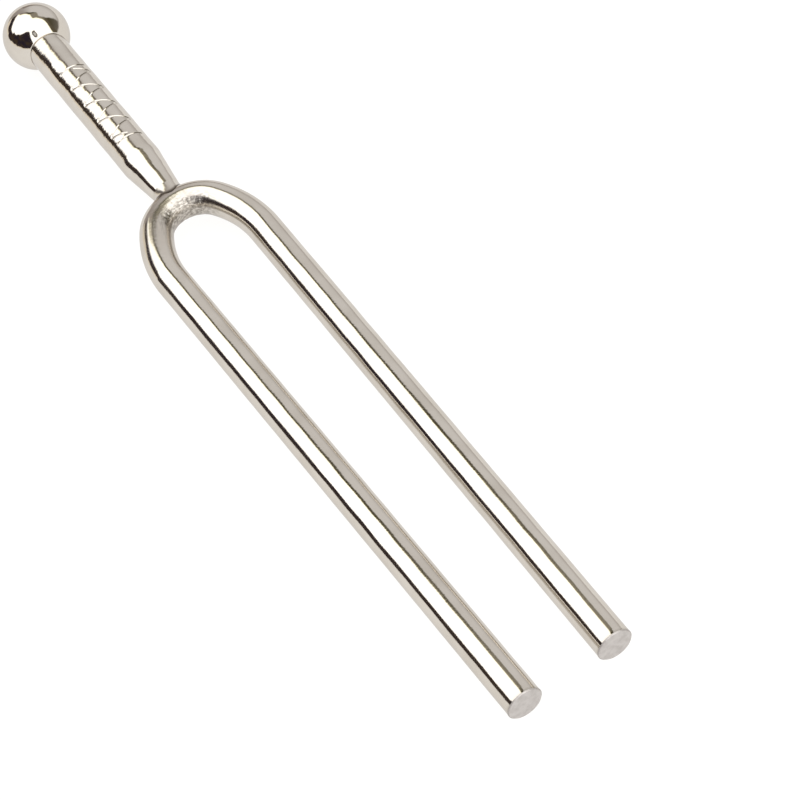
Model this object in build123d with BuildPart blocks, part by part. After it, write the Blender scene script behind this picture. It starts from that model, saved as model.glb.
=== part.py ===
"""Tuning fork: a round steel rod bent into a U, a turned stem brazed to its crown and a ball foot.

The fork lies flat. The fork plane is XY, the stem points along +Y, the tines along -Y,
and the origin is the centre of the whole fork. Lengths are millimetres.
"""
import math
import os

from build123d import *

os.makedirs("parts", exist_ok=True)

# Fork rod
rod_diameter = 3.8
tine_spacing = 11.55         # between rod centre lines, where the bend ends
crown_radius = 4.49          # centre line radius at the crown of the bend
crown_half_angle = 60.4      # the crown arc runs this far to each side
toe_in = 0.65                # each tine leans towards the other, in degrees
tine_length = 76.0           # from the crown's centre line to the tine tips, along the stem axis
tip_chamfer = 0.12

# Stem
stem_diameter = 4.76
foot_diameter = 3.24
foot_buried = 1.2            # the cone starts this far below the crown's outer surface
cone_top = 8.2               # where the cone meets the barrel, above the crown's centre line
barrel_top_round = 0.28
tenon_diameter = 1.8
tenon_depth = 2.0
spigot_diameter = 2.4
spigot_length = 3.2

# Ball
ball_diameter = 7.9
ball_height = 34.85          # ball centre above the crown's centre line
bore_relief = 0.3            # free space past the end of the spigot and of the tenon

# Braze
bead_width = 0.24
bead_height = 0.5            # up the cone, from the crown's outer surface
bead_low = 0.2               # lowest point, above the crown's centre line
bead_bow = 0.05              # how far the bead's face is hollowed

# Engraved wave on the barrel
wave_length = 3.3
wave_count = 4
wave_height = 1.95           # from the middle line to a peak, before rounding
peak_round = 0.25
wave_centre = 17.8           # middle of the wave above the crown's centre line
wave_turn = 7.0              # the wave faces this far from +Z towards +X, in degrees
stroke_width = 0.22
stroke_depth = 0.08
end_tick = 1.5               # half length of the tick at each end of the wave
tick_gap = 0.5               # from the end of the wave to its tick

# Extra length that makes joined shapes overlap and cuts run clear
overlap = 1.0

rod_radius = rod_diameter / 2
stem_radius = stem_diameter / 2
foot_radius = foot_diameter / 2
ball_radius = ball_diameter / 2
half_spacing = tine_spacing / 2

# The second arc of each shoulder blends the crown into the straight tine
crown_angle = math.radians(crown_half_angle)
toe_angle = math.radians(toe_in)
crown_reach = crown_radius * math.sin(crown_angle)
shoulder_radius = (half_spacing - crown_reach) / (1 - math.sin(crown_angle))
shoulder_drop = crown_radius - crown_radius * math.cos(crown_angle)
shoulder_drop += shoulder_radius * (math.cos(crown_angle) + math.sin(toe_angle))

# The middle of the whole fork is the origin
tip_low = tine_length + (rod_radius - tip_chamfer) * math.sin(toe_angle)
ball_high = ball_height + ball_radius
crown_y = (tip_low - ball_high) / 2

shoulder_end_x = half_spacing - shoulder_radius * (1 - math.cos(toe_angle))
shoulder_end_y = crown_y - shoulder_drop
tip_y = crown_y - tine_length
tip_x = shoulder_end_x - (shoulder_end_y - tip_y) * math.tan(toe_angle)

# The flat on the ball where the barrel seats
seat_below_ball = math.sqrt(ball_radius**2 - stem_radius**2)
barrel_top_y = crown_y + ball_height - seat_below_ball
crown_surface_y = crown_y + rod_radius
cone_slope = (stem_radius - foot_radius) / (cone_top - rod_radius)


with BuildPart() as prong_fork:
    with BuildLine() as rod_path:
        right_tine = Line((tip_x, tip_y), (shoulder_end_x, shoulder_end_y))
        right_shoulder = JernArc(
            start=right_tine @ 1,
            tangent=right_tine % 1,
            radius=shoulder_radius,
            arc_size=90 + toe_in - crown_half_angle,
        )
        crown = JernArc(
            start=right_shoulder @ 1,
            tangent=right_shoulder % 1,
            radius=crown_radius,
            arc_size=2 * crown_half_angle,
        )
        left_shoulder = JernArc(
            start=crown @ 1,
            tangent=crown % 1,
            radius=shoulder_radius,
            arc_size=90 + toe_in - crown_half_angle,
        )
        Line(left_shoulder @ 1, (-tip_x, tip_y))
    with BuildSketch(Plane(origin=rod_path.line @ 0, z_dir=rod_path.line % 0)) as rod_section:
        Circle(rod_radius)
    sweep()
    # Tiny chamfer round both sawn ends
    chamfer(prong_fork.edges().group_by(Axis.Y)[0], length=tip_chamfer)
    # Blind hole in the crown for the stem's tenon
    with BuildSketch(Plane.XZ.offset(-(crown_surface_y - tenon_depth - bore_relief))) as tenon_hole:
        Circle(tenon_diameter / 2)
    extrude(amount=-(tenon_depth + bore_relief + overlap), mode=Mode.SUBTRACT)

# The engraved wave: a rounded zigzag between two ticks, cut into the barrel's skin only
wave_plane = Plane(
    origin=(0, crown_y + wave_centre, 0),
    x_dir=(0, 1, 0),
    z_dir=(math.sin(math.radians(wave_turn)), 0, math.cos(math.radians(wave_turn))),
)
wave_start = -wave_length * wave_count / 2
wave_points = [(wave_start, 0)]
for half_wave in range(2 * wave_count):
    peak_x = wave_start + wave_length * (0.25 + 0.5 * half_wave)
    peak_side = 1 if half_wave % 2 == 0 else -1
    wave_points.append((peak_x, peak_side * wave_height))
wave_points.append((-wave_start, 0))
tick_x = wave_start - tick_gap

with BuildPart() as wave_cutter:
    with BuildSketch(wave_plane) as wave_strokes:
        with BuildLine():
            FilletPolyline(*wave_points, radius=peak_round)
        trace(line_width=stroke_width)
        with Locations((tick_x, 0), (-tick_x, 0)):
            Rectangle(stroke_width, 2 * end_tick)
    extrude(amount=stem_diameter)
    with Locations(Location((0, crown_y + wave_centre, 0), (90, 0, 0))):
        Cylinder(stem_radius - stroke_depth, 2 * (overlap - tick_x), mode=Mode.SUBTRACT)

with BuildPart() as stem:
    with BuildSketch(Plane.XY) as stem_profile:
        with BuildLine():
            Polyline(
                (0, crown_surface_y - foot_buried),
                (foot_radius, crown_surface_y - foot_buried),
                (foot_radius, crown_surface_y),
                (stem_radius, crown_y + cone_top),
                (stem_radius, barrel_top_y),
                (0, barrel_top_y),
                close=True,
            )
        make_face()
    revolve(axis=Axis.Y)
    fillet(stem.edges().group_by(Axis.Y)[-1], radius=barrel_top_round)
    # The foot is coped to sit on the round rod of the crown
    with Locations((0, crown_y - crown_radius, 0)):
        Torus(crown_radius, rod_radius, mode=Mode.SUBTRACT)
    # Tenon into the crown
    with BuildSketch(Plane.XZ.offset(-(crown_surface_y - tenon_depth))) as tenon_section:
        Circle(tenon_diameter / 2)
    extrude(amount=-(tenon_depth + overlap))
    # Spigot into the ball
    with BuildSketch(Plane.XZ.offset(-barrel_top_y)) as spigot_section:
        Circle(spigot_diameter / 2)
    extrude(amount=-spigot_length)
    # Engraved wave
    add(wave_cutter.part, mode=Mode.SUBTRACT)

with BuildPart() as ball_end:
    with Locations((0, crown_y + ball_height, 0)):
        Sphere(ball_radius)
    # Flat seat for the barrel, and the blind bore for its spigot
    with Locations((0, barrel_top_y - ball_radius / 2, 0)):
        Box(ball_diameter, ball_radius, ball_diameter, mode=Mode.SUBTRACT)
    with BuildSketch(Plane.XZ.offset(-barrel_top_y)) as ball_bore:
        Circle(spigot_diameter / 2)
    extrude(amount=-(spigot_length + bore_relief), mode=Mode.SUBTRACT)

with BuildPart() as braze_bead:
    with BuildSketch(Plane.XY) as bead_profile:
        with BuildLine():
            bead_outer_low = (foot_radius + bead_width, crown_y + bead_low)
            bead_outer_high = (foot_radius + bead_width, crown_surface_y)
            bead_top = (foot_radius + bead_height * cone_slope, crown_surface_y + bead_height)
            Line((foot_radius, crown_y + bead_low), bead_outer_low)
            Line(bead_outer_low, bead_outer_high)
            SagittaArc(bead_outer_high, bead_top, bead_bow)
            Line(bead_top, (foot_radius, crown_surface_y))
            Line((foot_radius, crown_surface_y), (foot_radius, crown_y + bead_low))
        make_face()
    revolve(axis=Axis.Y)
    with Locations((0, crown_y - crown_radius, 0)):
        Torus(crown_radius, rod_radius, mode=Mode.SUBTRACT)


prong_fork.part.label = "prong_fork"
stem.part.label = "stem"
ball_end.part.label = "ball_end"
braze_bead.part.label = "braze_bead"

export_step(prong_fork.part, "parts/prong_fork.step")
export_step(stem.part, "parts/stem.step")
export_step(ball_end.part, "parts/ball_end.step")
export_step(braze_bead.part, "parts/braze_bead.step")
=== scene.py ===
"""Tuning fork: fine meshes, plated-steel looks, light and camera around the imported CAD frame.

Lengths are metres and angles are radians, apart from the world's angles, which are degrees. The
frame is the CAD's: the fork lies in XY, the ball is at +Y, the tines point along -Y and +Z is the
engraved side.
"""

import functools
import math

import bpy
import numpy as np
from mathutils import Matrix, Vector


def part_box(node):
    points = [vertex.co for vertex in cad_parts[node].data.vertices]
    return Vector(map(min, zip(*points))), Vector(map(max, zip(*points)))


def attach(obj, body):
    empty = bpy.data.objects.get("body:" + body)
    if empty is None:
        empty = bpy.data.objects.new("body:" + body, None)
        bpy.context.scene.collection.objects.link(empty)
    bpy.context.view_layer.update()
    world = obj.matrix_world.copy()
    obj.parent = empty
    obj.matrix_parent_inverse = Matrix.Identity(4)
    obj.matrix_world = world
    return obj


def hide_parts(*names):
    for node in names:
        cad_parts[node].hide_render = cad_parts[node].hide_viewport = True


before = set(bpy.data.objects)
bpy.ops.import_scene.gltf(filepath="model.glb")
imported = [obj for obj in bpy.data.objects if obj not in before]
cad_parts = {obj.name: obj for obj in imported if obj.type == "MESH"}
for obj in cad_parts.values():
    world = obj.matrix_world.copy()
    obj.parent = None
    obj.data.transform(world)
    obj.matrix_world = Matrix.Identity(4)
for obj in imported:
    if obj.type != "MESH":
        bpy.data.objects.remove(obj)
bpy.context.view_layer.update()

MM = 0.001
TURN = 2 * math.pi

# ---------------------------------------------------------------- sizes from the frame
fork_low, fork_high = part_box("prong_fork")
_, stem_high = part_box("stem")
_, ball_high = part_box("ball_end")

rod_radius = fork_high.z
half_spacing = fork_high.x - rod_radius
crown_y = fork_high.y - rod_radius
tip_low = fork_low.y
stem_radius = stem_high.z
ball_radius = ball_high.z
ball_y = ball_high.y - ball_radius

# ---------------------------------------------------------------- the CAD's own shape values
crown_radius = 4.49 * MM
crown_half_angle = math.radians(60.4)
toe_angle = math.radians(0.65)
tip_chamfer = 0.12 * MM
foot_radius = 1.62 * MM
cone_top = crown_y + 8.2 * MM
barrel_top_round = 0.28 * MM
bead_width = 0.24 * MM
bead_height = 0.5 * MM

wave_length = 3.3 * MM
wave_count = 4
wave_height = 1.95 * MM
peak_round = 0.25 * MM
wave_y = crown_y + 17.8 * MM
wave_turn = math.radians(7.0)
stroke_half_width = 0.11 * MM
stroke_depth = 0.08 * MM
end_tick = 1.5 * MM
tick_gap = 0.5 * MM

crown_surface_y = crown_y + rod_radius
barrel_top_y = ball_y - math.sqrt(ball_radius**2 - stem_radius**2)
cone_slope = (stem_radius - foot_radius) / (cone_top - crown_surface_y)
crown_reach = crown_radius * math.sin(crown_half_angle)
shoulder_radius = (half_spacing - crown_reach) / (1 - math.sin(crown_half_angle))


# ---------------------------------------------------------------- camera
def make_camera():
    """A long lens above and to the left of the tines, turned a little about its own axis."""
    turn = math.radians(-19.64)
    rise = math.radians(51.16)
    roll = math.radians(-16.05)
    aim = Vector((4.70, -20.24, 0.0)) * MM
    distance = 255.1 * MM
    back = Vector(
        (
            math.sin(turn) * math.cos(rise),
            -math.cos(turn) * math.cos(rise),
            math.sin(rise),
        )
    )
    camera_data = bpy.data.cameras.new("camera")
    camera_data.sensor_width = 36.0
    camera_data.lens = 114.1
    camera_data.clip_start = 0.01
    camera = bpy.data.objects.new("camera", camera_data)
    bpy.context.scene.collection.objects.link(camera)
    level = (-back).to_track_quat("-Z", "Y").to_matrix().to_4x4()
    camera.matrix_world = (
        Matrix.Translation(aim + back * distance)
        @ level
        @ Matrix.Rotation(roll, 4, "Z")
    )
    bpy.context.scene.camera = camera


# ---------------------------------------------------------------- mesh helpers
def skin(name, rings, places, start_pole=None, end_pole=None, loop=False):
    """A mesh through rings of points, closed by a point at each end, or joined into a loop.

    rings is rows x columns x 3. places has the same shape and holds each point's place on the
    straightened part, along its axis first, which the materials read.
    """
    rows, columns, _ = rings.shape
    points = rings.reshape(-1, 3)
    place_points = places.reshape(-1, 3)
    column = np.arange(columns)
    next_column = (column + 1) % columns
    row_pairs = rows if loop else rows - 1
    quads = []
    for row in range(row_pairs):
        here = row * columns
        there = ((row + 1) % rows) * columns
        quads.append(
            np.stack(
                [here + column, here + next_column, there + next_column, there + column],
                axis=1,
            )
        )
    quads = np.concatenate(quads)
    triangles = []
    for pole, row, flip in ((start_pole, 0, True), (end_pole, rows - 1, False)):
        if pole is None:
            continue
        centre = len(points)
        points = np.vstack([points, pole])
        ring_place = place_points[row * columns : (row + 1) * columns]
        place_points = np.vstack([place_points, ring_place.mean(axis=0)])
        rim = row * columns + column
        next_rim = row * columns + next_column
        hub = np.full(columns, centre)
        order = (next_rim, rim, hub) if flip else (rim, next_rim, hub)
        triangles.append(np.stack(order, axis=1))
    faces = quads.tolist()
    for fan in triangles:
        faces += fan.tolist()
    mesh = bpy.data.meshes.new(name)
    mesh.from_pydata(points.tolist(), [], faces)
    mesh.update()
    place = mesh.attributes.new("place", "FLOAT_VECTOR", "POINT")
    place.data.foreach_set("vector", place_points.astype(np.float32).ravel())
    mesh.shade_smooth()
    piece = bpy.data.objects.new(name, mesh)
    bpy.context.scene.collection.objects.link(piece)
    return piece


def add_dark_marks(piece, amount):
    """Dark marks: residue on the chamfers of the sawn ends, and a darker band along the braze ring's
    low edge, in the corner against the rod. 0 is clean plate, 1 is dark brown.
    """
    dark_marks_and_painted_reflection = piece.data.attributes.new("dark_marks_and_painted_reflection", "FLOAT", "POINT")
    dark_marks_and_painted_reflection.data.foreach_set("value", amount.astype(np.float32))


def ripple(along, angle, seed, lengths, orders, height, terms=24):
    """A smooth random height over a round bar, made of waves along it and around it.

    lengths is the shortest and longest wave along the bar, orders the most waves around it.
    """
    draw = np.random.default_rng(seed)
    total = np.zeros(np.broadcast(along, angle).shape)
    for _ in range(terms):
        wave = math.exp(draw.uniform(math.log(lengths[0]), math.log(lengths[1])))
        order = draw.integers(0, orders + 1)
        phase = draw.uniform(0, TURN, 2)
        total += np.sin(TURN * along / wave + phase[0]) * np.cos(order * angle + phase[1])
    return height * total / math.sqrt(terms)


def smooth_step(low, high, value):
    t = np.clip((value - low) / (high - low), 0, 1)
    return t * t * (3 - 2 * t)


def crown_top(x, z):
    """Height y of the bent rod's outer surface at (x, z), close to the stem."""
    reach = crown_radius + np.sqrt(rod_radius**2 - z**2)
    return crown_y - crown_radius + np.sqrt(reach**2 - x**2)


# ---------------------------------------------------------------- the bent rod
def rod_path():
    """Lengths, points and headings along the rod's centre line, from the right tip to the left."""
    tine_step, shoulder_step, crown_step = 0.4 * MM, 0.2 * MM, 0.06 * MM
    shoulder_sweep = math.pi / 2 + toe_angle - crown_half_angle
    shoulder_drop = crown_radius * (1 - math.cos(crown_half_angle))
    shoulder_drop += shoulder_radius * (math.cos(crown_half_angle) + math.sin(toe_angle))
    shoulder_end_y = crown_y - shoulder_drop
    tip_y = tip_low + (rod_radius - tip_chamfer) * math.sin(toe_angle)
    tine = (shoulder_end_y - tip_y) / math.cos(toe_angle)
    runs = [
        (tine, 0.0, tine_step),
        (shoulder_radius * shoulder_sweep, 1 / shoulder_radius, shoulder_step),
        (2 * crown_radius * crown_half_angle, 1 / crown_radius, crown_step),
        (shoulder_radius * shoulder_sweep, 1 / shoulder_radius, shoulder_step),
        (tine, 0.0, tine_step),
    ]
    heading = math.pi / 2 - toe_angle
    shoulder_end_x = half_spacing - shoulder_radius * (1 - math.cos(toe_angle))
    point = np.array([shoulder_end_x - tine * math.sin(toe_angle), tip_y])
    lengths, points, headings = [0.0], [point], [heading]
    for length, curvature, step in runs:
        count = math.ceil(length / step)
        step = length / count
        for _ in range(count):
            half_turn = curvature * step / 2
            chord = step if curvature == 0 else 2 * math.sin(half_turn) / curvature
            middle = heading + half_turn
            point = point + chord * np.array([math.cos(middle), math.sin(middle)])
            heading += 2 * half_turn
            lengths.append(lengths[-1] + step)
            points.append(point)
            headings.append(heading)
    return np.array(lengths), np.array(points), np.array(headings)


# Rings on each sawn end, from its middle to where its chamfer starts, and over the chamfer
flat_rings = 10
chamfer_shares = (0.5, 1.0)
chamfer_soil = 0.28


def rings_across(lengths, centres, headings, radius, angle):
    """Rings square to the rod. Angle 0 is the outside of the bend, a quarter turn is +Z."""
    outward = np.stack([np.sin(headings), -np.cos(headings)], axis=1)
    out = radius * np.cos(angle)
    up = radius * np.sin(angle)
    rings = np.empty(out.shape + (3,))
    rings[..., :2] = centres[:, None, :] + out[..., None] * outward[:, None, :]
    rings[..., 2] = up
    places = np.stack([np.broadcast_to(lengths[:, None], out.shape), out, up], axis=2)
    return rings, places


def sawn_end(lengths, points, headings, angle, at_start):
    """Rings from the middle of a sawn end, over its chamfer, to the side of the rod."""
    index, inward = (0, 1) if at_start else (-1, -1)
    heading = headings[index]
    tangent = np.array([math.cos(heading), math.sin(heading)])
    flat_radius = rod_radius - tip_chamfer
    radii = [flat_radius * (ring + 1) / flat_rings for ring in range(flat_rings)]
    radii += [flat_radius + tip_chamfer * share for share in chamfer_shares]
    depths = np.array([0.0] * flat_rings + [tip_chamfer * share for share in chamfer_shares])
    return rings_across(
        lengths[index] + inward * depths,
        points[index] + inward * depths[:, None] * tangent,
        np.full(len(depths), heading),
        np.array(radii)[:, None],
        angle,
    )


def rod_surface(along, from_middle, angle):
    """How far the rod's surface stands off its nominal round."""
    height = ripple(along, angle, 11, (4 * MM, 20 * MM), 5, 0.0080 * MM)
    height += ripple(along, angle, 12, (0.9 * MM, 2.5 * MM), 7, 0.0016 * MM)
    height -= height.max()
    # Marks left across the rod inside the bend, where the polishing wheel can't reach
    inside = smooth_step(0.15, 0.75, -np.cos(angle))
    bend = 1 - smooth_step(2.5 * MM, 7.0 * MM, from_middle)
    marks = ripple(along, angle, 13, (0.18 * MM, 0.5 * MM), 6, 0.0050 * MM, 60)
    marks += ripple(along, angle, 14, (0.6 * MM, 1.8 * MM), 7, 0.0140 * MM, 40)
    return height + inside * bend * marks


def make_fork():
    """The bent rod with its two square-cut, lightly chamfered ends."""
    columns = 96
    angle = np.arange(columns) * TURN / columns
    lengths, points, headings = rod_path()
    total = lengths[-1]
    start_rings, start_places = sawn_end(lengths, points, headings, angle, True)
    end_rings, end_places = sawn_end(lengths, points, headings, angle, False)
    # The body rings stop where the end chamfers start
    body = (lengths > tip_chamfer) & (lengths < total - tip_chamfer)
    along = lengths[body][:, None]
    height = rod_surface(along, np.abs(along - total / 2), angle)
    body_rings, body_places = rings_across(
        lengths[body], points[body], headings[body], rod_radius + height, angle
    )
    rings = np.concatenate([start_rings, body_rings, end_rings[::-1]])
    places = np.concatenate([start_places, body_places, end_places[::-1]])
    piece = skin("fork_rod", rings, places, (*points[0], 0.0), (*points[-1], 0.0))
    # Faces of the sawn ends and their chamfers take the second material
    end_faces = (flat_rings + 1) * columns
    rod_faces = (len(rings) - 1) * columns
    material = np.zeros(len(piece.data.polygons), np.int32)
    material[:end_faces] = 1
    material[rod_faces - end_faces :] = 1
    piece.data.polygons.foreach_set("material_index", material)
    # The chamfers' edges have picked up a little residue
    dark_marks_and_painted_reflection = np.zeros((len(rings), columns))
    dark_marks_and_painted_reflection[flat_rings : flat_rings + len(chamfer_shares)] = chamfer_soil
    dark_marks_and_painted_reflection[-flat_rings - len(chamfer_shares) : -flat_rings] = chamfer_soil
    poles = (0.0, 0.0)
    add_dark_marks(piece, np.append(dark_marks_and_painted_reflection.ravel(), poles))
    piece.data.set_sharp_from_angle(angle=math.radians(30))
    return piece


# ---------------------------------------------------------------- the turned stem
def wave_line():
    """Straight pieces of the engraved wave: a zigzag with rounded peaks, and its two end ticks."""
    half_length = wave_length * wave_count / 2
    corners = [Vector((-half_length, 0.0))]
    for half_wave in range(2 * wave_count):
        side = 1 if half_wave % 2 == 0 else -1
        corners.append(
            Vector((-half_length + wave_length * (0.25 + 0.5 * half_wave), side * wave_height))
        )
    corners.append(Vector((half_length, 0.0)))
    line = [corners[0]]
    for before, corner, after in zip(corners, corners[1:], corners[2:]):
        to_before = (before - corner).normalized()
        to_after = (after - corner).normalized()
        half_angle = to_before.angle(to_after) / 2
        bisector = (to_before + to_after).normalized()
        centre = corner + bisector * (peak_round / math.sin(half_angle))
        start = corner + to_before * (peak_round / math.tan(half_angle))
        sweep = math.pi - 2 * half_angle
        turn = -1 if to_before.cross(to_after) > 0 else 1
        for step in range(9):
            spin = Matrix.Rotation(turn * sweep * step / 8, 2)
            line.append(centre + spin @ (start - centre))
    line.append(corners[-1])
    pieces = list(zip(line, line[1:]))
    for side in (-1, 1):
        x = side * (half_length + tick_gap)
        pieces.append((Vector((x, -end_tick)), Vector((x, end_tick))))
    return pieces


def stroke_distance(u, v):
    """Distance from the points (u, v) of the engraving's plane to the nearest stroke."""
    nearest = np.full(u.shape, 1.0)
    for a, b in wave_line():
        run = b - a
        t = np.clip(((u - a.x) * run.x + (v - a.y) * run.y) / run.length_squared, 0, 1)
        nearest = np.minimum(nearest, np.hypot(u - a.x - t * run.x, v - a.y - t * run.y))
    return nearest


# Mesh step at the engraving, along the stem and round it
fine = 0.042 * MM
engraved_half = wave_length * wave_count / 2 + tick_gap + 0.2 * MM


def stem_angles():
    """Angles round the stem from +Z: close together at the engraving, wider apart elsewhere."""
    half_peak = math.atan2(wave_length / 4, wave_height)
    wave_reach = wave_height - peak_round * (1 / math.sin(half_peak) - 1)
    half = math.asin((wave_reach + 0.2 * MM) / stem_radius)
    fine_columns = round(2 * half * stem_radius / fine)
    coarse_columns = 60
    near = np.linspace(-half, half, fine_columns, endpoint=False)
    far = half + np.linspace(0, TURN - 2 * half, coarse_columns, endpoint=False)
    return wave_turn + np.concatenate([near, far])


def stem_levels(round_start):
    """Heights y of the rings from the foot to the rounded shoulder, close at cone and engraving."""
    stops = (
        (crown_surface_y, 0.07 * MM),
        (cone_top + 0.4 * MM, 0.2 * MM),
        (wave_y - engraved_half, fine),
        (wave_y + engraved_half, 0.2 * MM),
        (round_start, None),
    )
    levels = []
    for (start, step), (end, _) in zip(stops, stops[1:]):
        count = math.ceil((end - start) / step)
        levels.append(np.linspace(start, end, count, endpoint=False))
    return np.concatenate(levels + [[round_start]])


def engraving(along, angle):
    """The groove's depth and the low burr beside it, as a height off the barrel."""
    u = along - wave_y + 0 * angle
    v = stem_radius * np.sin(wave_turn - angle) + 0 * along
    distance = stroke_distance(u, v)
    distance = np.where(np.cos(wave_turn - angle) > 0, distance, 1.0)
    burr_height, burr_width = 0.010 * MM, 0.035 * MM
    cut = np.clip(1 - (distance / stroke_half_width) ** 2, 0, 1)
    burr = np.exp(-(((distance - stroke_half_width * 1.15) / burr_width) ** 2))
    return burr * burr_height - cut * stroke_depth


def stem_surface(along, angle):
    """How far the stem's surface stands off its nominal shape."""
    height = ripple(along, angle, 21, (2.5 * MM, 9 * MM), 6, 0.0130 * MM)
    height += ripple(along, angle, 22, (0.8 * MM, 2.2 * MM), 9, 0.0022 * MM)
    height -= height.max()
    # Rings left by the turning tool on the cone, strongest at its break
    on_cone = 1 - smooth_step(cone_top, cone_top + 0.3 * MM, along)
    near_break = np.exp(-(((along - cone_top) / (0.9 * MM)) ** 2))
    rings_cut = ripple(along, angle, 23, (0.16 * MM, 0.6 * MM), 1, 0.0012 * MM, 40)
    height += rings_cut * on_cone * (0.35 + 0.65 * near_break)
    return height + engraving(along, angle)


def foot_rings(sin, cos):
    """The foot's end, which follows the round of the bent rod, and its rise to the cone's rings."""
    rings = []
    for share in (0.25, 0.5, 0.75, 1.0):
        x, z = foot_radius * share * sin, foot_radius * share * cos
        rings.append(np.stack([x, crown_top(x, z), z], axis=1))
    saddle_y = rings[-1][:, 1]
    for share in (0.2, 0.4, 0.6, 0.8):
        level = saddle_y + (crown_surface_y - saddle_y) * share
        rings.append(np.stack([foot_radius * sin, level, foot_radius * cos], axis=1))
    return rings


def shoulder_rings(sin, cos, round_start):
    """The rounded shoulder and the flat top that seats in the ball."""
    rings = []
    steps = 6
    for step in range(1, steps + 1):
        bend = step / steps * math.pi / 2
        radius = stem_radius - barrel_top_round * (1 - math.cos(bend))
        level = round_start + barrel_top_round * math.sin(bend)
        rings.append(np.stack([radius * sin, level + 0 * sin, radius * cos], axis=1))
    for share in (0.66, 0.33):
        radius = (stem_radius - barrel_top_round) * share
        rings.append(np.stack([radius * sin, barrel_top_y + 0 * sin, radius * cos], axis=1))
    return rings


def make_stem():
    """The handle: a coned foot coped to the rod, a barrel with the engraved wave, a round shoulder."""
    angle = stem_angles()
    sin, cos = np.sin(angle), np.cos(angle)
    round_start = barrel_top_y - barrel_top_round
    along = stem_levels(round_start)[:, None]
    # The break between cone and barrel is slightly rounded
    cone_radius = foot_radius + (along - crown_surface_y) * cone_slope
    corner = 0.12 * MM * cone_slope
    radius = stem_radius - corner * np.log1p(np.exp((stem_radius - cone_radius) / corner))
    side = radius + stem_surface(along, angle)
    rings = np.concatenate(
        [
            foot_rings(sin, cos),
            np.stack([side * sin, along + 0 * angle, side * cos], axis=2),
            shoulder_rings(sin, cos, round_start),
        ]
    )
    piece = skin(
        "handle", rings, rings[..., [1, 0, 2]], (0, crown_surface_y, 0), (0, barrel_top_y, 0)
    )
    piece.data.set_sharp_from_angle(angle=math.radians(60))
    return piece


# ---------------------------------------------------------------- ball and braze
def make_ball():
    """The polished ball, flat where the barrel seats."""
    columns, rows = 128, 96
    angle = np.arange(columns) * TURN / columns
    seat = math.pi - math.asin(stem_radius / ball_radius)
    polar = np.linspace(0, seat, rows + 1)[1:][::-1, None]
    height = ripple(polar * ball_radius, angle, 31, (2 * MM, 12 * MM), 3, 0.0016 * MM)
    height *= np.sin(polar)
    radius = ball_radius + height
    rings = np.stack(
        [
            radius * np.sin(polar) * np.sin(angle),
            ball_y + radius * np.cos(polar) + 0 * angle,
            radius * np.sin(polar) * np.cos(angle),
        ],
        axis=2,
    )
    seat_rings = rings[:1] * np.array([0.5, 1, 0.5])
    rings = np.concatenate([seat_rings, rings])
    seat_y = float(rings[0, :, 1].mean())
    piece = skin(
        "ball",
        rings,
        rings[..., [1, 0, 2]],
        (0, seat_y, 0),
        (0, ball_y + ball_radius, 0),
    )
    piece.data.set_sharp_from_angle(angle=math.radians(40))
    return piece


def make_bead():
    """The ring of filler metal between the foot and the bent rod, a little uneven all round."""
    columns, rows = 144, 14
    lip, buried = 0.07 * MM, 0.03 * MM
    angle = np.arange(columns) * TURN / columns
    sin, cos = np.sin(angle), np.cos(angle)
    width = bead_width * (1 + 0.14 * ripple(0 * angle, angle, 41, (1.0, 2.0), 9, 1.0))
    height = bead_height * (1 + 0.16 * ripple(0 * angle, angle, 42, (1.0, 2.0), 11, 1.0))
    low_radius = np.minimum(foot_radius + width, rod_radius - 0.02 * MM)
    top_y = crown_surface_y + height
    top_radius = foot_radius + height * cone_slope
    rings = []
    for share in np.linspace(0, 1, rows):
        # A low lip on the rod, then a quarter of a hollow curve up to the cone
        out = (1 - math.sin(share * math.pi / 2)) ** 1.5
        up = (1 - math.cos(share * math.pi / 2)) ** 0.9
        radius = top_radius + (low_radius - top_radius) * out
        x, z = radius * sin, radius * cos
        level = crown_top(x, z) + lip * float(smooth_step(0, 0.12, share))
        rings.append(np.stack([x, level + (top_y - level) * up, z], axis=1))
    # Closed inside the foot and inside the rod, where nothing shows
    inner = foot_radius - buried
    rings.append(np.stack([inner * sin, top_y, inner * cos], axis=1))
    for radius in (inner, low_radius):
        x, z = radius * sin, radius * cos
        rings.append(np.stack([x, crown_top(x, z) - buried, z], axis=1))
    rings = np.array(rings)
    piece = skin("braze_ring", rings, rings[..., [1, 0, 2]], loop=True)
    # Darker along the low edge where the bead meets the rod, fading out a third of the way up; the
    # hidden inner rings are dark too
    dark_marks_and_painted_reflection = np.ones(len(rings))
    dark_marks_and_painted_reflection[:rows] = 1 - smooth_step(0.0, 0.35, np.linspace(0, 1, rows))
    add_dark_marks(piece, np.repeat(dark_marks_and_painted_reflection, columns))
    piece.data.set_sharp_from_angle(angle=math.radians(50))
    return piece


# ---------------------------------------------------------------- materials
NICKEL = (0.640, 0.600, 0.545, 1.0)
NICKEL_DEEP = (0.590, 0.548, 0.490, 1.0)
NICKEL_EDGE = (0.80, 0.79, 0.79, 1.0)
# Dark brown of the residue and dark marks, also used for the painted dark reflection inside the bend
DARK_MARK_AND_PAINTED_REFLECTION = (0.090, 0.070, 0.050, 1.0)
SAWN_STEEL = (0.575, 0.545, 0.525, 1.0)
SAWN_STEEL_DARK = (0.495, 0.465, 0.445, 1.0)


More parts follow.
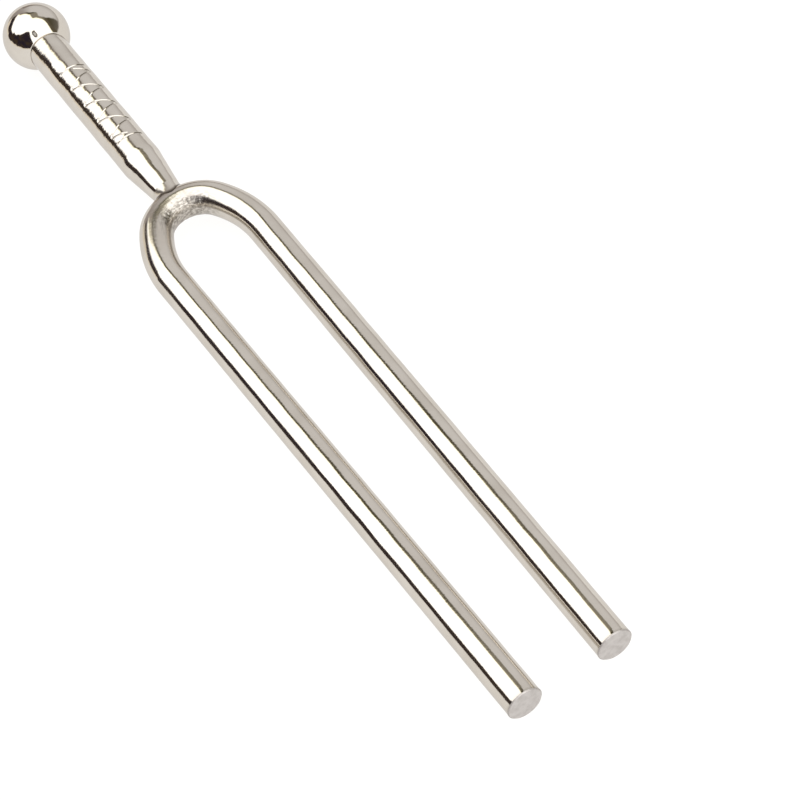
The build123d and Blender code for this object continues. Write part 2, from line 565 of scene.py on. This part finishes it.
class Nodes:
    """Short calls that add nodes to one tree."""

    def __init__(self, tree):
        self.tree = tree
        tree.nodes.clear()

    def join(self, value, socket):
        """A link from another node, or a plain value, into a socket."""
        if isinstance(value, bpy.types.NodeSocket):
            self.tree.links.new(value, socket)
        else:
            socket.default_value = value

    def add(self, kind, inputs=None, **settings):
        node = self.tree.nodes.new(kind)
        for key, value in settings.items():
            setattr(node, key, value)
        for key, value in (inputs or {}).items():
            self.join(value, node.inputs[key])
        return node

    def attribute(self, name, output):
        return self.add("ShaderNodeAttribute", attribute_name=name).outputs[output]

    def math(self, operation, *values):
        return self.add("ShaderNodeMath", dict(enumerate(values)), operation=operation).outputs[0]

    def chain(self, operation, *values):
        """One two-input operation run through any number of values."""
        return functools.reduce(lambda a, b: self.math(operation, a, b), values)

    def vector(self, operation, *values):
        node = self.add("ShaderNodeVectorMath", dict(enumerate(values)), operation=operation)
        return node.outputs["Vector"]

    def split(self, vector):
        return self.add("ShaderNodeSeparateXYZ", {"Vector": vector}).outputs

    def noise(self, place, scale, detail=2.0, roughness=0.5, output="Fac"):
        inputs = {"Vector": place, "Scale": scale, "Detail": detail, "Roughness": roughness}
        return self.add("ShaderNodeTexNoise", inputs).outputs[output]

    def span(self, value, low, high, to_low=0.0, to_high=1.0):
        """A smooth change from to_low to to_high as value goes from low to high."""
        node = self.add(
            "ShaderNodeMapRange",
            {"Value": value, "From Min": low, "From Max": high, "To Min": to_low, "To Max": to_high},
            interpolation_type="SMOOTHSTEP",
        )
        return node.outputs["Result"]

    def mix(self, share, a, b):
        node = self.add("ShaderNodeMix", data_type="RGBA")
        # The mix node's share and colours are its sockets 0, 6 and 7, and its colour is output 2
        for value, index in ((share, 0), (a, 6), (b, 7)):
            self.join(value, node.inputs[index])
        return node.outputs[2]

    def metal(self, colour, roughness, height, distance=1.0, edge=(1.0, 1.0, 1.0, 1.0)):
        """A metal surface on the material's output. height times distance is in metres."""
        bump = self.add("ShaderNodeBump", {"Height": height, "Distance": distance, "Strength": 1.0})
        inputs = {
            "Base Color": colour,
            "Metallic": 1.0,
            "Roughness": roughness,
            "Specular Tint": edge,
            "Normal": bump.outputs[0],
        }
        shader = self.add("ShaderNodeBsdfPrincipled", inputs)
        self.add("ShaderNodeOutputMaterial", {"Surface": shader.outputs[0]})


def new_material(name):
    material = bpy.data.materials.new(name)
    material.use_nodes = True
    return material, Nodes(material.node_tree)


def plated(name, marks_along, marks_across, marks_height, roughness, seed=0.0, bend=None):
    """Bright nickel plate with polishing marks.

    marks_along and marks_across are the size of the marks along and across the part's axis.
    bend is where along the axis the rod is bent; the inside of the bend keeps coarse marks and is
    painted with a blotchy dark reflection.
    """
    material, nodes = new_material(name)
    place = nodes.attribute("place", "Vector")

    def noise(along, across, detail, roughness, shift):
        stretch = nodes.vector("MULTIPLY", place, (1 / along, 1 / across, 1 / across))
        return nodes.noise(nodes.vector("ADD", stretch, (seed + shift,) * 3), 1.0, detail, roughness)

    marks = noise(marks_along, marks_across, 1.5, 0.5, 0.0)
    cloud = noise(4 * MM, 4 * MM, 3.0, 0.55, 7.0)
    rough = nodes.math(
        "ADD",
        nodes.span(cloud, 0.3, 0.75, roughness * 0.8, roughness * 1.15),
        nodes.span(marks, 0.5, 0.9, 0.0, roughness * 0.5),
    )
    height = nodes.math("MULTIPLY", marks, marks_height)
    dark_marks_and_painted_reflection = nodes.attribute("dark_marks_and_painted_reflection", "Fac")
    if bend is not None:
        along, out, _ = nodes.split(place)
        from_bend = nodes.math("ABSOLUTE", nodes.math("SUBTRACT", along, bend))
        dulled = nodes.span(from_bend, 5 * MM, 13 * MM, 1.0, 0.0)
        unpolished_and_painted_dark = nodes.math(
            "MULTIPLY",
            nodes.span(from_bend, 3 * MM, 8 * MM, 1.0, 0.0),
            nodes.span(out, -rod_radius, 0.1 * rod_radius, 1.0, 0.0),
        )
        streaks = noise(0.12 * MM, 1.2 * MM, 2.0, 0.6, 21.0)
        streaks = nodes.chain("MULTIPLY", streaks, unpolished_and_painted_dark, 0.045 * MM)
        height = nodes.math("ADD", height, streaks)
        rough = nodes.math("ADD", rough, nodes.math("MULTIPLY", dulled, 0.05))
        rough = nodes.math("ADD", rough, nodes.math("MULTIPLY", unpolished_and_painted_dark, 0.10))
        # Painted dark reflection in blotches on the inside of the bend, where the polishing wheel
        # can't reach
        blotches = noise(0.65 * MM, 0.17 * MM, 2.0, 0.5, 33.0)
        painted_dark_reflection = nodes.math("MULTIPLY", nodes.span(blotches, 0.36, 0.64, 0.12, 0.66), unpolished_and_painted_dark)
        dark_marks_and_painted_reflection = nodes.math("MAXIMUM", dark_marks_and_painted_reflection, painted_dark_reflection)
    colour = nodes.mix(nodes.span(cloud, 0.35, 0.7), NICKEL, NICKEL_DEEP)
    # Darkened towards dark brown where marked, and inside the bend by the painted dark reflection
    colour = nodes.mix(dark_marks_and_painted_reflection, colour, DARK_MARK_AND_PAINTED_REFLECTION)
    nodes.metal(colour, rough, height, edge=NICKEL_EDGE)
    return material


def sawn(name):
    """Sawn and lightly filed steel under thin plate, matt."""
    material, nodes = new_material(name)
    place = nodes.attribute("place", "Vector")
    # File strokes run across the end, so they are narrow in the part's third direction
    stroke_scale = (1 / (0.5 * MM), 1 / (1.2 * MM), 1 / (0.07 * MM))
    strokes = nodes.noise(nodes.vector("MULTIPLY", place, stroke_scale), 1.0, 3.0, 0.6)
    cloud = nodes.noise(nodes.vector("MULTIPLY", place, (1 / (0.7 * MM),) * 3), 1.0, 3.0, 0.6)
    colour = nodes.mix(nodes.span(cloud, 0.3, 0.75), SAWN_STEEL, SAWN_STEEL_DARK)
    colour = nodes.mix(nodes.attribute("dark_marks_and_painted_reflection", "Fac"), colour, DARK_MARK_AND_PAINTED_REFLECTION)
    nodes.metal(colour, nodes.span(cloud, 0.3, 0.7, 0.42, 0.55), strokes, 0.006 * MM)
    return material


# ---------------------------------------------------------------- light
TENT_WHITE = (2.1, 2.1, 2.1, 1.0)
CREAM_WHITE = (1.75, 1.70, 1.25, 1.0)
DARK_VIOLET = (0.030, 0.022, 0.034, 1.0)
DARK_BROWN = (0.065, 0.045, 0.030, 1.0)
DARK_OLIVE = (0.085, 0.072, 0.036, 1.0)
DIM_OLIVE = (0.36, 0.33, 0.26, 1.0)
DIM_BROWN = (0.15, 0.125, 0.085, 1.0)
DIM_MAUVE = (0.34, 0.295, 0.27, 1.0)
PANEL_LOW = (0.66, 0.635, 0.615, 1.0)
PANEL_HIGH = (0.86, 0.845, 0.84, 1.0)
PANEL_LEFT = (0.46, 0.42, 0.40, 1.0)
PANEL_END = (0.20, 0.18, 0.15, 1.0)
STRIP_GREY = (0.50, 0.475, 0.455, 1.0)
LENS_GLASS = (0.75, 0.74, 0.72, 1.0)
HORIZON = (1.12, 1.03, 0.88, 1.0)
SEEN_BACKDROP = (1.05, 1.05, 1.05, 1.0)


class Sky(Nodes):
    """The world's nodes. All its angles are degrees.

    Directions are laid out flat: u goes from the zenith towards +X and v towards +Y. Azimuth 0 is
    +Y and 90 is +X. The tent's edges are not straight, so u, v and elevation sway a little.
    """

    def __init__(self, tree):
        super().__init__(tree)
        ray = self.add("ShaderNodeTexCoord").outputs["Generated"]
        x, y, z = self.split(ray)
        from_zenith = self.math("MULTIPLY", self.math("ARCCOSINE", z), 180 / math.pi)
        level = self.math("SQRT", self.math("ADD", self.squared(x), self.squared(y)))
        share = self.math("DIVIDE", from_zenith, self.math("MAXIMUM", level, 0.001))
        coarse = self.noise(ray, 4.0, 2.0, output="Color")
        fine_noise = self.noise(ray, 22.0, 3.0, output="Color")
        sway = self.vector("MULTIPLY", self.vector("SUBTRACT", coarse, (0.5,) * 3), (9.0,) * 3)
        ruffle = self.vector("MULTIPLY", self.vector("SUBTRACT", fine_noise, (0.5,) * 3), (2.4,) * 3)
        self.shift_u, shift_v, _ = self.split(self.vector("ADD", sway, ruffle))
        self.u = self.math("ADD", self.math("MULTIPLY", x, share), self.shift_u)
        self.v = self.math("ADD", self.math("MULTIPLY", y, share), shift_v)
        self.elevation = self.math("ADD", self.math("SUBTRACT", 90.0, from_zenith), shift_v)
        self.azimuth = self.math("MULTIPLY", self.math("ARCTAN2", x, y), 180 / math.pi)
        self.cloud = self.noise(ray, 4.0, 2.0)

    def squared(self, value):
        return self.math("MULTIPLY", value, value)

    def line(self, towards_u, towards_v, distance):
        """Degrees beyond a straight line of the flat layout."""
        along_u = self.math("MULTIPLY", self.u, towards_u)
        along_v = self.math("MULTIPLY", self.v, towards_v)
        return self.math("SUBTRACT", self.math("ADD", along_u, along_v), distance)

    def largest(self, *values):
        return self.chain("MAXIMUM", *values)

    def smallest(self, *values):
        return self.chain("MINIMUM", *values)

    def above(self, height, soft):
        """1 above a height, 0 below it, with an edge that is soft on each side by some degrees."""
        return self.span(self.math("SUBTRACT", self.elevation, height), -soft, soft)

    def below(self, height, soft):
        return self.span(self.math("SUBTRACT", height, self.elevation), -soft, soft)


def gap_top_and_foot(sky):
    """Heights of the top and foot of the dark gap between table and tent on the left.

    Its top is highest towards the tines' end and its foot towards the ball's.
    """
    azimuth = sky.azimuth
    height = sky.chain(
        "ADD",
        sky.span(azimuth, -120, -68, 58, 29),
        sky.span(azimuth, -64, -59, 0, -8),
        sky.span(azimuth, -49, -32, 0, 6),
    )
    ends = sky.math("MULTIPLY", sky.span(azimuth, -158, -132), sky.span(azimuth, 8, 13, 1.0, 0.0))
    foot = sky.chain(
        "ADD",
        sky.span(azimuth, -68, -62, 4.0, 0.8),
        sky.span(azimuth, -49, -44, 0, 5.0),
        sky.span(azimuth, -34, -24, 0, 6.5),
    )
    return sky.math("MULTIPLY", height, ends), foot


def panel_edges(sky):
    """Degrees inside the dark rim round the grey panel, and inside the panel itself."""
    line = sky.line
    rim = sky.largest(
        sky.smallest(line(0.788, 0.615, 28.5), line(1.0, 0.0, -6.0)),
        sky.smallest(line(1.0, 0.0, 12.0), line(0.483, 0.876, 18.5)),
        line(0.940, 0.340, 36.5),
    )
    panel = sky.largest(
        sky.smallest(line(0.498, 0.867, 43.4), line(0.707, 0.707, 39.5)),
        sky.smallest(line(0.483, 0.876, 28.0), line(1.0, 0.0, 31.0)),
        line(0.940, 0.340, 48.0),
    )
    return rim, panel


def rim_colour(sky):
    colour = sky.mix(sky.span(sky.v, 29.0, 34.0), DIM_OLIVE, DARK_OLIVE)
    colour = sky.mix(sky.span(sky.v, 40.0, 50.0), colour, DIM_MAUVE)
    return sky.mix(sky.span(sky.u, 36.0, 48.0), colour, DIM_BROWN)


def panel_colour(sky, swayed_azimuth):
    """Grey, darker low down and at the left, with a dark gap past the panel's right end."""
    colour = sky.mix(sky.span(sky.elevation, -2.0, 20.0), PANEL_LOW, PANEL_HIGH)
    colour = sky.mix(sky.span(sky.azimuth, -4, 28), PANEL_LEFT, colour)
    past_end = sky.math(
        "MULTIPLY",
        sky.span(swayed_azimuth, 81, 87),
        sky.span(sky.elevation, 44, 54, 1.0, 0.0),
    )
    end_colour = sky.mix(sky.span(sky.elevation, 0.0, 40.0), PANEL_END, DARK_OLIVE)
    return sky.mix(past_end, colour, end_colour)


def add_panel(sky, colour, below_gap_top, dark):
    """The grey panel on the right, with a dark rim and a cream glow between it and the tent."""
    in_rim, in_panel = panel_edges(sky)
    glow = sky.mix(below_gap_top, CREAM_WHITE, dark)
    colour = sky.mix(sky.span(in_rim, -4.0, -1.0), colour, glow)
    colour = sky.mix(sky.span(in_rim, -1.2, 1.2), colour, rim_colour(sky))
    swayed_azimuth = sky.math("ADD", sky.azimuth, sky.shift_u)
    share = sky.math(
        "MULTIPLY", sky.span(in_panel, -2.0, 2.0), sky.span(swayed_azimuth, 113, 119, 1.0, 0.0)
    )
    return sky.mix(share, colour, panel_colour(sky, swayed_azimuth))


def add_strip(sky, colour):
    """A dim strip under the panel."""
    top = sky.span(sky.azimuth, 10, 45, 15, 3)
    share = sky.math("MULTIPLY", sky.span(sky.azimuth, 6, 11), sky.below(top, 2.0))
    return sky.mix(share, colour, sky.mix(sky.span(sky.azimuth, 12, 40), DIM_MAUVE, STRIP_GREY))


def add_camera_opening(sky, colour):
    """An oval opening in the tent, dark round a paler lens."""
    middle_u, middle_v = -12.0, -38.5
    half_u, half_v = 8.0, 14.0
    across = sky.math("DIVIDE", sky.math("SUBTRACT", sky.u, middle_u), half_u)
    along = sky.math("DIVIDE", sky.math("SUBTRACT", sky.v, middle_v), half_v)
    from_middle = sky.math("ADD", sky.squared(across), sky.squared(along))
    opening = sky.mix(sky.span(from_middle, 0.2, 0.5), LENS_GLASS, DARK_BROWN)
    return sky.mix(sky.span(from_middle, 0.7, 1.2, 1.0, 0.0), colour, opening)


def add_table_edge(sky, colour, gap_top):
    """The table's far edge, lower where the dark gap stands behind it."""
    edge_colour = sky.mix(sky.span(sky.azimuth, 14, 40), HORIZON, PANEL_LOW)
    edge_top = sky.span(gap_top, 1.0, 4.0, 2.0, 0.2)
    return sky.mix(sky.below(edge_top, 1.0), colour, edge_colour)


def make_world():
    """A white light tent with a grey panel, the dark gaps beside them and the camera's opening."""
    world = bpy.data.worlds.new("studio")
    bpy.context.scene.world = world
    world.use_nodes = True
    sky = Sky(world.node_tree)
    gap_top, gap_foot = gap_top_and_foot(sky)
    below_gap_top = sky.below(gap_top, 2.0)
    dark = sky.mix(sky.span(sky.cloud, 0.35, 0.65), DARK_VIOLET, DARK_BROWN)
    colour = sky.mix(below_gap_top, TENT_WHITE, sky.mix(sky.above(gap_foot, 1.0), HORIZON, dark))
    colour = add_panel(sky, colour, below_gap_top, dark)
    colour = add_strip(sky, colour)
    colour = add_camera_opening(sky, colour)
    colour = add_table_edge(sky, colour, gap_top)
    seen = sky.add("ShaderNodeLightPath").outputs["Is Camera Ray"]
    colour = sky.mix(seen, colour, SEEN_BACKDROP)
    background = sky.add("ShaderNodeBackground", {"Color": colour, "Strength": 1.0})
    sky.add("ShaderNodeOutputWorld", {"Surface": background.outputs[0]})


def make_floor():
    """A pale light table under the ball and the tine tips: it glows, so shadows on it are faint."""
    half = 0.9
    below_fork = 0.02 * MM
    tilt = (rod_radius - ball_radius) / (ball_y - tip_low)
    corners = []
    for x, y in ((-half, -half), (half, -half), (half, half), (-half, half)):
        corners.append((x, y, -rod_radius + tilt * (y - tip_low) - below_fork))
    mesh = bpy.data.meshes.new("table")
    mesh.from_pydata(corners, [], [(0, 1, 2, 3)])
    floor = bpy.data.objects.new("table", mesh)
    bpy.context.scene.collection.objects.link(floor)
    material, nodes = new_material("pale_table")
    diffuse = nodes.add("ShaderNodeBsdfDiffuse", {"Color": (0.11, 0.11, 0.109, 1.0)})
    glow = nodes.add("ShaderNodeEmission", {"Color": (1.0, 0.99, 0.975, 1.0), "Strength": 0.94})
    both = nodes.add("ShaderNodeAddShader", {0: diffuse.outputs[0], 1: glow.outputs[0]})
    nodes.add("ShaderNodeOutputMaterial", {"Surface": both.outputs[0]})
    mesh.materials.append(material)


# ---------------------------------------------------------------- build
bpy.context.scene.view_settings.view_transform = "Standard"
make_camera()
make_world()
make_floor()

rod_lengths, _, _ = rod_path()
rod_plate = plated("nickel_rod", 0.25 * MM, 0.5 * MM, 0.005 * MM, 0.10, bend=rod_lengths[-1] / 2)
stem_plate = plated("nickel_stem", 0.30 * MM, 0.6 * MM, 0.007 * MM, 0.10, 40.0)
ball_plate = plated("nickel_ball", 0.6 * MM, 0.6 * MM, 0.002 * MM, 0.07, 80.0)
braze_plate = plated("nickel_braze", 0.25 * MM, 0.3 * MM, 0.008 * MM, 0.20, 120.0)
sawn_steel = sawn("sawn_end")

for piece, node, slot_name, materials in (
    (make_fork(), "prong_fork", "plated_rod", (rod_plate, sawn_steel)),
    (make_stem(), "stem", "plated_stem", (stem_plate,)),
    (make_ball(), "ball_end", "plated_ball", (ball_plate,)),
    (make_bead(), "braze_bead", "plated_braze", (braze_plate,)),
):
    for material in materials:
        piece.data.materials.append(material)
    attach(piece, "root")
    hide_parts(node)
